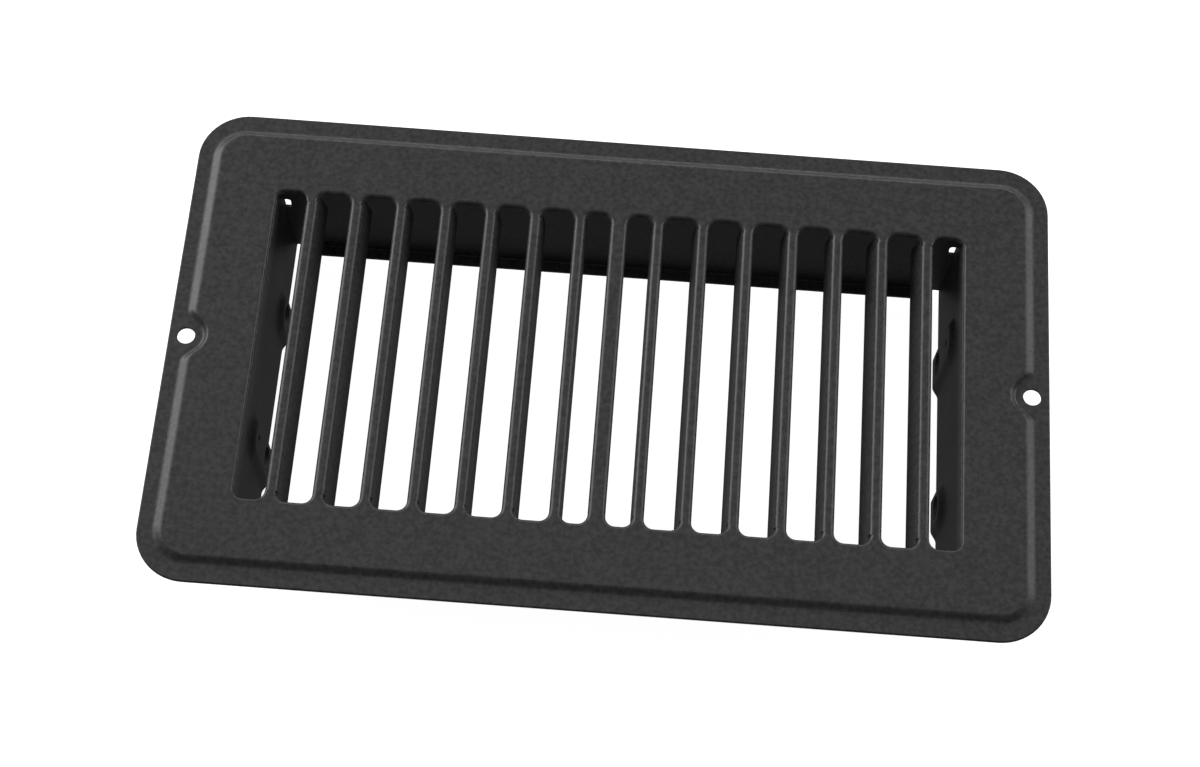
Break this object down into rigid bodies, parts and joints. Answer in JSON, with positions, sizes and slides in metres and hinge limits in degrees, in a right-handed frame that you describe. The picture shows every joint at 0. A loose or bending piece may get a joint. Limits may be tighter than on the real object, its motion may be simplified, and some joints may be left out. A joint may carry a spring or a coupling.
{
  "type": "louvred air grille",
  "caption": "Black stamped-steel floor register: raised rectangular face with fixed louvres leaning to the centre, two screw holes and an open duct collar below.",
  "frame": {"origin": "centre of the rim's underside, midway between the two screw holes, on the plane that seats on the floor", "axes": "+X along the long side towards the right-hand screw hole, +Y across the grille towards its back, +Z out of the face, away from the duct"},
  "size_m": [0.243, 0.1426, 0.0386],
  "materials": {
    "black_powder_coat": "satin black powder coat with a fine grain"
  },
  "bodies": {
    "root": {"face_frame": "black_powder_coat", "louvre_01": "black_powder_coat", "louvre_02": "black_powder_coat", "louvre_03": "black_powder_coat", "louvre_04": "black_powder_coat", "louvre_05": "black_powder_coat", "louvre_06": "black_powder_coat", "louvre_07": "black_powder_coat", "centre_bar": "black_powder_coat", "louvre_09": "black_powder_coat", "louvre_10": "black_powder_coat", "louvre_11": "black_powder_coat", "louvre_12": "black_powder_coat", "louvre_13": "black_powder_coat", "louvre_14": "black_powder_coat", "louvre_15": "black_powder_coat", "long_wall_back": "black_powder_coat", "long_wall_front": "black_powder_coat", "end_wall_right": "black_powder_coat", "end_wall_left": "black_powder_coat"}
  },
  "joints": []
}
